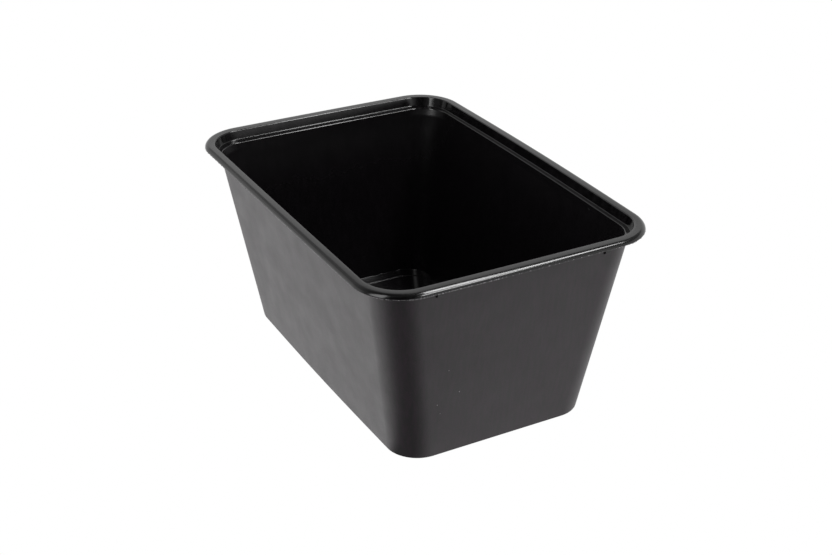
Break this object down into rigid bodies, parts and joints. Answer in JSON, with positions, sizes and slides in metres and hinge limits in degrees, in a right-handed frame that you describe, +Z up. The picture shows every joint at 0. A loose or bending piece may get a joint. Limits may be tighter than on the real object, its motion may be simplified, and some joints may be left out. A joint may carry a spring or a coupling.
{
  "type": "takeaway container",
  "caption": "Rectangular thin-walled plastic takeaway tub with rounded corners, tapered walls, a flat rim and a stacking ledge, open at the top.",
  "frame": {"origin": "middle of the flat underside, on the surface the tub stands on", "axes": "+X along the long sides, +Y along the short sides, +Z up out of the opening"},
  "size_m": [0.1754, 0.1225, 0.0811],
  "materials": {
    "container": "moulded black plastic, glossy inside and on the rim, finely textured outside"
  },
  "bodies": {
    "root": {"container": "container"}
  },
  "joints": []
}
